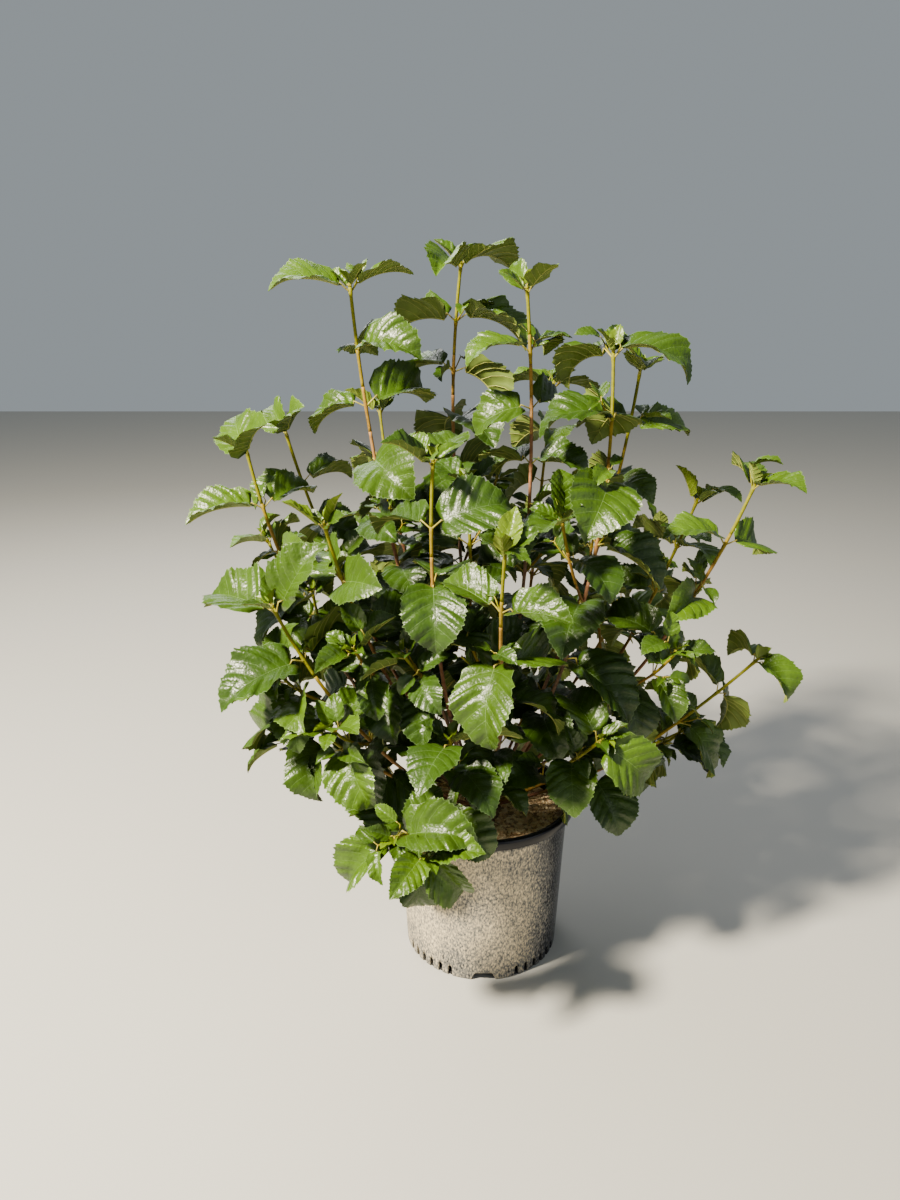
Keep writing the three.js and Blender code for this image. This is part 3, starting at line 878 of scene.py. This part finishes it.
def add_margins(skin, form, top, normals):
    """The slim pale rim of a blade, a painted highlight along its margin."""
    width = np.full(len(top), 0.75 * form.length / 100)
    for column, inner, flip in ((0, 1, True), (-1, -2, False)):
        up = normals[:, column] * 0.12
        edge = top[:, column] + up
        inside = towards(top[:, column], top[:, inner], width) + up
        skin.add(np.stack([edge, inside], axis=1), grid_faces(len(top), 2, flip=flip))


def leaf_kind(form):
    if form.length > BROAD_LENGTH:
        return "broad"
    return "small" if form.length > TINY_LENGTH else "tiny"


def top_tint(form):
    """Young leaves are the brightest, in their own paler green. Others are painted darker deeper into the
    crown, as painted shade, with a random tone spray by spray.
    """
    if form.adult < YOUNG_BELOW:
        return "young"
    shell = norm((form.foot - CROWN_MIDDLE) / CROWN_HALF)
    score = shell + 0.3 * (noise(form.spray, 17) - 0.5) + 0.3 * (noise(form.key, 18) - 0.5)
    return "outer_lit" if score > OUTER_LIT_ABOVE else "half_shaded" if score > HALF_SHADED_ABOVE else "deep_shaded"


# Stem skins

def stem_age(from_tip):
    return next(age for age, (reach, _, _) in STEM_COLOURS.items() if from_tip < reach)


def stem_radii(shoot, stations):
    """Radii along a stem, with a swelling at each of its nodes."""
    radii = np.array([shoot.radius(t) for t in stations])
    for k in range(shoot.pairs):
        away = (stations - node_at(shoot, k)) * shoot.length / NODE_LENGTH
        radii *= 1 + NODE_SWELLING * np.exp(-(away ** 2))
    bumps = np.array([noise(shoot.key, 200 + i) for i in range(len(stations))])
    radii *= STEM_SLIMNESS * (0.95 + 0.1 * bumps)
    return radii


def add_stem(skins, shoot, ring_step, sides, buried):
    """A stem with its bud, cut where its colour changes."""
    count = max(4, int(shoot.length / ring_step))
    stations = np.linspace(0, 1, count + 1)
    centres = np.array([shoot.curve(t) for t in stations])
    centres[0] -= tangent_of(shoot.curve, 0) * buried
    radii = stem_radii(shoot, stations)
    ripeness = lerp(0.6, 1.6, noise(shoot.key, 31))
    older = 0 if shoot.length > SIDE_STEM_LENGTH else SIDE_STEM_AGE
    ages = [stem_age(((1 - t) * shoot.length + older) * ripeness) for t in stations]
    first = 0
    for i in range(1, count + 1):
        if i == count or ages[i] != ages[first]:
            run = slice(first, i + 1)
            sweep(skins["stem", ages[first]], centres[run], radii[run], sides, TUBE_HINT)
            first = i
    if shoot.start > 0:
        add_bud(skins["stem", "green"], shoot, radii[-1], sides)


def add_bud(skin, shoot, radius, sides):
    along = tangent_of(shoot.curve, 1)
    heights = np.array([0, 0.35, 0.7, 1.0]) * BUD
    shares = np.array([1, 1.15, 0.7, 0.12])
    sweep(skin, shoot.curve(1) + along * heights[:, None], radius * shares, sides, TUBE_HINT)


# Pot, soil and root crown

def wall_radius(z):
    return lerp(POT_FOOT_RADIUS, POT_BODY_RADIUS, z / (POT_HEIGHT - POT_LIP_HEIGHT))


def inner_radius(z):
    return wall_radius(z) - POT_WALL


def nearest_offset(angles, centres):
    """How far each angle is from the nearest of the centres."""
    away = (angles[:, None] - np.array(centres)[None, :] + pi) % (2 * pi) - pi
    return np.abs(away).min(1)


def drain_top(angles):
    """How high the wall starts over the drain holes."""
    middles = [radians(i * 360 / DRAIN_COUNT - 90) for i in range(DRAIN_COUNT)]
    x = nearest_offset(angles, middles) * POT_FOOT_RADIUS
    return DRAIN_HEIGHT * np.clip((DRAIN_WIDTH / 2 - x) / (DRAIN_WIDTH / 6), 0, 1)


def flute_top(angles):
    """How high the wall starts over the round-topped flutes."""
    middles = []
    for i in range(DRAIN_COUNT):
        for j in range(FLUTES_PER_QUARTER):
            aside = (j - (FLUTES_PER_QUARTER - 1) / 2) * FLUTE_PITCH_DEG
            middles.append(radians((i + 0.5) * 360 / DRAIN_COUNT - 90 + aside))
    x = np.minimum(1, nearest_offset(angles, middles) * POT_FOOT_RADIUS / (FLUTE_WIDTH / 2))
    inside = x < 0.98
    return inside * (FLUTE_HEIGHT - FLUTE_WIDTH / 2 * (1 - np.sqrt(1 - x * x * inside)))


def pot_profile():
    """Radius and height up the outside of the pot, over its lip and down the inside."""
    lip_foot = POT_HEIGHT - POT_LIP_HEIGHT
    low = [0, 0.7, 1.6, 3, 4.5, 6, 7.5, 9, 10, 11, 12, 13, 14.5, 17]
    outside = [(wall_radius(z) - 1.2 * max(0, 1 - z / 1.6), z) for z in low]
    outside += [(wall_radius(z), z) for z in np.linspace(25, lip_foot - 1.5, 16)]
    lip = [(wall_radius(lip_foot) + 0.8, lip_foot - 0.2)]
    lip += [(POT_LIP_RADIUS + r, lip_foot + z) for r, z in LIP_UNDERSIDE]
    lip += [(POT_LIP_RADIUS + r, POT_HEIGHT + z) for r, z in LIP_TOP]
    lip += [(inner_radius(lip_foot), lip_foot - 1)]
    inside = [(inner_radius(z), z) for z in (225, 210, 150, 60, 17, 8, 3, 0)]
    return outside, lip + inside


def add_pot_wall(skin):
    """The wall and lip, a little out of round, over the drain holes and flutes."""
    angles = full_turn(POT_COLUMNS) - pi
    low = np.maximum(drain_top(angles), flute_top(angles))
    dent = 0.5 * np.sin(2 * angles + 0.6) + 0.3 * np.sin(3 * angles + 2.1)
    outside, rest = pot_profile()
    rings = []
    for radius, z in outside + rest:
        r = radius + dent * min(1, z / 60) * 0.8
        rings.append(level_ring(r, angles, np.maximum(z, low)))
    skin.add_rings(rings + rings[:1])


def add_pot_floor(skin):
    """The floor, and a dark lining behind the drain holes that stands for the shade inside them, as
    painted shade.
    """
    angles = full_turn(POT_COLUMNS) - pi
    rim = np.full(POT_COLUMNS, POT_FOOT_RADIUS - POT_WALL + 0.6)
    rim -= np.maximum((DRAIN_DEPTH - POT_WALL) * (drain_top(angles) > 1), 0.8 * (flute_top(angles) > 1))
    below = [level_ring(rim * share, angles, 0.4) for share in (0.01, 0.5, 1)]
    above = [level_ring(rim * share, angles, POT_FLOOR) for share in (1, 0.5, 0.01)]
    skin.add_rings(below + above)
    foot = POT_FOOT_RADIUS - DRAIN_DEPTH + GAP / 2
    ledge = inner_radius(LEDGE_TOP) - GAP / 2
    shade_liner = [(foot, POT_FLOOR), (foot, LEDGE_FOOT), (ledge, LEDGE_TOP)]
    skin.add_rings([level_ring(r, angles, z) for r, z in shade_liner])


def soil_height(x, y):
    """The lumpy top of the potting mix, a little heaped round the crown."""
    lumps = np.sin(0.09 * x + 1.3) * np.sin(0.08 * y + 0.4) + 0.6 * np.sin(0.21 * x - 0.17 * y)
    return SOIL_TOP - 3 + 1.3 * lumps + 3 * np.exp(-(x * x + y * y) / 2400)


def add_soil(skin, rng):
    """The filling: narrow behind the drain holes, and rough on top."""
    angles = full_turn(SOIL_COLUMNS)
    foot, lift = POT_FOOT_RADIUS - DRAIN_DEPTH, POT_FLOOR + GAP
    ledge = inner_radius(LEDGE_TOP) - GAP
    sides = [(0.5, lift), (foot, lift), (foot, LEDGE_FOOT), (ledge, LEDGE_TOP)]
    rings = [level_ring(r, angles, z) for r, z in sides]
    for r in (inner_radius(SOIL_TOP) - GAP) * np.linspace(1, 0.004, 34):
        rough = rng.normal(0, 0.8, SOIL_COLUMNS) * min(1, r / 10)
        z = soil_height(r * np.cos(angles), r * np.sin(angles)) + rough
        rings.append(level_ring(r, angles, z))
    skin.add_rings(rings)


CHIP = np.array([[x, y, z] for z in (-0.5, 0.5) for y in (-0.5, 0.5) for x in (-0.5, 0.5)])
CHIP_FACES = [(0, 2, 3, 1), (4, 5, 7, 6), (0, 1, 5, 4), (1, 3, 7, 5), (3, 2, 6, 7), (2, 0, 4, 6)]


def add_chips(skins, rng):
    """Loose chips of bark that lie about on the potting mix."""
    reach = inner_radius(SOIL_TOP) - 8
    for i in range(CHIP_COUNT):
        r = reach * sqrt(rng.random())
        a = rng.random() * 2 * pi
        centre = np.array([r * cos(a), r * sin(a), 0])
        size = np.array([rng.uniform(3, 11), rng.uniform(2, 5), rng.uniform(1, 2.6)])
        centre[2] = soil_height(centre[0], centre[1]) + rng.uniform(0, 3)
        points = (CHIP + rng.uniform(-0.16, 0.16, CHIP.shape)) * size
        points = turned(points, UP, rng.uniform(0, 6.28))
        tilt = unit(np.array([rng.normal(), rng.normal(), 0.01]))
        points = turned(points, tilt, rng.normal(0, 0.4))
        skins["chip", i % 3].add(points + centre, CHIP_FACES)


def add_root_crown(skin):
    """A knobbly dome of old wood that flares at the soil."""
    columns, rows = 72, 30
    angles = full_turn(columns)
    rings = []
    for i in range(rows + 1):
        t = i / rows
        rise = t * pi / 2
        r = lerp(CROWN_RADIUS, 1, 1 - cos(rise)) + (CROWN_FLARE - CROWN_RADIUS) * max(0, 1 - 5 * t)
        z = SOIL_TOP - 2 + (CROWN_RADIUS + 9) * sin(rise)
        lobes = 1.6 * np.sin(5 * angles + 1.5 * t) + 1.1 * np.sin(9 * angles - 2 * t)
        lobes += 0.5 * np.sin(23 * angles)
        rings.append(level_ring(np.maximum(0.3, r + lobes * cos(rise) - 1.5), angles, z))
    skin.add_rings(rings)


# Materials

def new_material(name):
    """A material with its shader and its object coordinates."""
    material = bpy.data.materials.new(name)
    material.use_nodes = True
    nodes = material.node_tree.nodes
    return material, nodes["Principled BSDF"], nodes.new("ShaderNodeTexCoord").outputs["Object"]


def feed(socket, value):
    """Links a socket to a node's output, or sets it to a plain value."""
    if isinstance(value, bpy.types.NodeSocket):
        socket.id_data.links.new(value, socket)
    else:
        socket.default_value = value


def add_node(tree, kind, **inputs):
    """A shader node, fed by its sockets' names with _ for a space."""
    node = tree.nodes.new(f"ShaderNode{kind}")
    for name, value in inputs.items():
        feed(node.inputs[name.replace("_", " ")], value)
    return node


def math_node(operation, a, b, kind="Math", output="Value"):
    node = add_node(a.id_data, kind)
    node.operation = operation
    feed(node.inputs[0], a)
    feed(node.inputs[1], b)
    return node.outputs[output]


def noise_value(vector, scale, detail=4.0, roughness=0.55):
    tree = vector.id_data
    node = add_node(tree, "TexNoise", Vector=vector, Scale=scale, Detail=detail, Roughness=roughness)
    return node.outputs["Fac"]


def ramp(value, stops):
    """A colour ramp from (place, colour) stops."""
    node = add_node(value.id_data, "ValToRGB", Fac=value)
    elements = node.color_ramp.elements
    while len(elements) < len(stops):
        elements.new(0.5)
    for element, (place, colour) in zip(elements, stops):
        element.position = place
        element.color = (*colour, 1)
    return node.outputs["Color"]


def map_range(value, low, high, start=0.0, end=1.0):
    """Carries a value from between start and end to between low and high."""
    tree = value.id_data
    node = add_node(tree, "MapRange", Value=value, From_Min=start, From_Max=end, To_Min=low, To_Max=high)
    return node.outputs["Result"]


def dress_shader(shader, colour, roughness, gloss_level, relief, strength, depth):
    bump = add_node(shader.id_data, "Bump", Strength=strength, Distance=depth, Height=relief)
    feed(shader.inputs["Base Color"], colour)
    feed(shader.inputs["Roughness"], roughness)
    feed(shader.inputs["Normal"], bump.outputs["Normal"])
    shader.inputs["Specular IOR Level"].default_value = gloss_level


def leaf_material(name, colour, roughness, gloss_level, relief_depth):
    """A blade with a fine net of veins, a little uneven in colour and gloss."""
    material, shader, coords = new_material(name)
    mottle = noise_value(coords, 45, 3)
    dark, light = [0.8 * c for c in colour], [min(1, 1.22 * c) for c in colour]
    tone = ramp(mottle, [(0.3, dark), (0.7, light)])
    film = noise_value(coords, 260, 2)
    rough = map_range(film, roughness - 0.07, roughness + 0.09, 0.3, 0.7)
    net = add_node(coords.id_data, "TexVoronoi", Vector=coords, Scale=170)
    net.feature = "DISTANCE_TO_EDGE"
    quilt = noise_value(coords, 150, 2)
    relief = math_node("ADD", quilt, math_node("MULTIPLY", net.outputs["Distance"], 0.7))
    dress_shader(shader, tone, rough, gloss_level, relief, 0.5, relief_depth)
    return material


def bark_material(name, dark, light, scale, roughness, relief_depth):
    """Bark in two tones with a grain and fine bumps."""
    material, shader, coords = new_material(name)
    tone = ramp(noise_value(coords, scale, 6), [(0.32, dark), (0.68, light)])
    fine = noise_value(coords, scale * 5, 5)
    rough = map_range(fine, roughness - 0.1, roughness + 0.1)
    dress_shader(shader, tone, rough, 0.2, fine, 0.5, relief_depth)
    return material


def pot_material():
    """Matt black plastic under a dried film of muddy earth in grey and beige flecks. The film thins
    towards +X, partly as less dirt there and partly as painted shade on the pot's shaded side.
    """
    material, shader, coords = new_material("pot_plastic")
    split = add_node(coords.id_data, "SeparateXYZ", Vector=coords)
    lip = map_range(split.outputs["Z"], 0.0, 0.5, 0.224, 0.237)
    foot = map_range(split.outputs["Z"], 0.07, 0.0, 0.0, 0.07)
    # Less mud towards +X: partly real, partly painted shade that darkens the side away from the key
    # light.
    thin_mud_and_painted_shade_side = map_range(split.outputs["X"], 0.0, 0.28, 0.062, 0.11)
    drawn_out = math_node("MULTIPLY", coords, (1, 1, 0.55), "VectorMath", "Vector")
    fleck = noise_value(drawn_out, 390, 4, 0.6)
    cloud = noise_value(coords, 18, 4)
    total = math_node("ADD", fleck, math_node("MULTIPLY", cloud, 0.3))
    for darkening in (lip, foot, thin_mud_and_painted_shade_side):
        total = math_node("SUBTRACT", total, darkening)
    mud_and_painted_shade = map_range(total, 0, 1, 0.40, 0.88)
    colour = ramp(mud_and_painted_shade, [
        (0.0, (0.006, 0.006, 0.009)),
        (0.22, (0.10, 0.10, 0.10)),
        (0.45, (0.25, 0.23, 0.19)),
        (0.62, (0.46, 0.385, 0.26)),
        (1.0, (0.82, 0.67, 0.42)),
    ])
    rough = map_range(mud_and_painted_shade, 0.22, 0.95, 0, 0.3)
    dress_shader(shader, colour, rough, 0.3, mud_and_painted_shade, 0.4, 0.0006)
    return material


# Upper sides: young leaves have their own paler green; the other three tints are one green painted darker
# further into the crown, as painted shade.
TOP_COLOURS = {
    "young": (0.085, 0.14, 0.001),
    "outer_lit": (0.044, 0.092, 0.0012),
    "half_shaded": (0.029, 0.064, 0.0012),
    "deep_shaded": (0.021, 0.050, 0.002),
}
# Undersides: the shaded tint is a darker copy for leaves deep in the crown, as painted shade.
UNDER_COLOURS = {
    "young": (0.14, 0.20, 0.010),
    "grown": (0.110, 0.155, 0.022),
    "shaded": (0.092, 0.132, 0.020),
}
STALK_COLOUR = (0.27, 0.23, 0.03)
UNDER_VEIN_COLOUR = (0.28, 0.30, 0.06)
# How far from a stem's tip each colour reaches, and its dark and light tone
STEM_COLOURS = {
    "green": (95, (0.125, 0.130, 0.0005), (0.20, 0.188, 0.001)),
    "straw": (145, (0.16, 0.115, 0.002), (0.24, 0.172, 0.005)),
    "tan": (215, (0.19, 0.103, 0.010), (0.29, 0.165, 0.024)),
    "russet": (290, (0.205, 0.097, 0.026), (0.315, 0.165, 0.052)),
    "rust": (450, (0.19, 0.08, 0.037), (0.30, 0.145, 0.07)),
    "old": (1e9, (0.13, 0.07, 0.04), (0.27, 0.165, 0.10)),
}
CHIP_COLOURS = [
    ((0.60, 0.42, 0.23), (0.84, 0.64, 0.38)),
    ((0.74, 0.57, 0.34), (0.92, 0.78, 0.54)),
    ((0.30, 0.19, 0.10), (0.54, 0.37, 0.21)),
]


# Putting it together

def build_plant():
    space = Space()
    shoots, twigs = grow_stems(space)
    leafy = shoots + twigs
    forms = grow_leaves(space, leafy)
    spurs, small = grow_spurs(space, leafy)
    for shoot in leafy:
        small.extend(tip_forms(shoot))
    skins = defaultdict(Skin)
    for form in forms + small:
        add_blade(skins, form, leaf_kind(form))
    for stems, ring_step, sides, buried in ((shoots, 6, 12, 8), (twigs, 5, 8, 0), (spurs, 5, 6, 0)):
        for stem in stems:
            add_stem(skins, stem, ring_step, sides, buried)
    return skins


def dress_foliage(name, skin, surface, colour, roughness, gloss_level, relief_depth=0.0018):
    material = leaf_material(surface, colour, roughness, gloss_level, relief_depth)
    make_piece(name, skin, material, [f"leaves_{cane[0]}" for cane in CANES])


def dress_plant(skins):
    for tint, colour in TOP_COLOURS.items():
        dress_foliage(f"leaf_tops_{tint}", skins["top", tint], f"leaf_{tint}", colour, 0.35, 0.4)
        # The pale lines on top, veins and margin rims, follow each tint; the rims are a painted
        # highlight.
        pale = [1.8 * c + 0.035 for c in colour]
        dress_foliage(f"leaf_veins_{tint}", skins["vein", tint], f"vein_{tint}", pale, 0.45, 0.35)
    for tint, colour in UNDER_COLOURS.items():
        name = f"leaf_undersides_{tint}"
        dress_foliage(name, skins["under", tint], f"underside_{tint}", colour, 0.62, 0.3, 0.0002)
    dress_foliage("leaf_stalks", skins["stalk"], "stalk_skin", STALK_COLOUR, 0.5, 0.4)
    dress_foliage("leaf_veins_under", skins["vein", "under"], "vein_under", UNDER_VEIN_COLOUR, 0.5, 0.4)
    canes = [f"cane_{cane[0]}" for cane in CANES]
    for age, (_, dark, light) in STEM_COLOURS.items():
        bark = bark_material(f"bark_{age}", dark, light, 160, 0.6, 0.0006)
        make_piece(f"stems_{age}", skins["stem", age], bark, canes)


def dress_pot():
    rng = np.random.default_rng(MIX_SEED)
    skins = defaultdict(Skin)
    add_pot_wall(skins["pot"])
    add_pot_floor(skins["base"])
    add_soil(skins["soil"], rng)
    add_chips(skins, rng)
    add_root_crown(skins["crown"])
    make_piece("pot_shell", skins["pot"], pot_material(), ["pot"])
    dark = bark_material("pot_dark_plastic", (0.008, 0.008, 0.009), (0.02, 0.02, 0.021), 60, 0.7, 0.0003)
    # The pot's floor, with the dark lining behind the drain holes as painted shade.
    make_piece("pot_base_and_shade_liner", skins["base"], dark)
    soil = bark_material("mix_soil", (0.20, 0.13, 0.07), (0.55, 0.40, 0.23), 130, 0.95, 0.002)
    make_piece("mix_bed", skins["soil"], soil, ["potting_mix"])
    for i, (dark, light) in enumerate(CHIP_COLOURS):
        chips = bark_material(f"mix_chips_{i}", dark, light, 120, 0.9, 0.001)
        make_piece(f"bark_chips_{i}", skins["chip", i], chips, smooth=False)
    crown = bark_material("crown_bark", (0.12, 0.075, 0.045), (0.32, 0.21, 0.13), 90, 0.85, 0.0025)
    make_piece("crown_wood", skins["crown"], crown, ["root_crown"])


def add_floor():
    mesh = bpy.data.meshes.new("studio_floor")
    corners = [(x * FLOOR_HALF, y * FLOOR_HALF, 0) for x, y in ((-1, -1), (1, -1), (1, 1), (-1, 1))]
    mesh.from_pydata(corners, [], [(0, 1, 2, 3)])
    material, shader, _ = new_material("studio_floor")
    shader.inputs["Base Color"].default_value = FLOOR_COLOUR
    shader.inputs["Roughness"].default_value = 0.9
    mesh.materials.append(material)
    floor = add_object("studio_floor", mesh)


def add_light(name, place, size, power, colour):
    light = bpy.data.lights.new(name, "AREA")
    light.shape = "DISK"
    light.size = size
    light.energy = power
    light.color = colour
    lamp = add_object(name, light)
    lamp.location = place
    lamp.rotation_euler = (LIT_POINT - Vector(place)).to_track_quat("-Z", "Y").to_euler()


def add_studio():
    add_floor()
    for light in LIGHTS:
        add_light(*light)
    world = bpy.data.worlds.new("studio_world")
    world.use_nodes = True
    background = world.node_tree.nodes["Background"]
    background.inputs["Color"].default_value = SKY_COLOUR
    background.inputs["Strength"].default_value = SKY_STRENGTH
    bpy.context.scene.world = world


def add_camera():
    camera = bpy.data.cameras.new("camera")
    camera.sensor_width = CAMERA_SENSOR
    camera.lens = CAMERA_LENS
    holder = add_object("camera", camera)
    holder.location = CAMERA_PLACE
    holder.rotation_euler = (radians(90 - CAMERA_DOWN_DEG), 0, 0)
    bpy.context.scene.camera = holder


add_camera()
dress_pot()
dress_plant(build_plant())
add_studio()
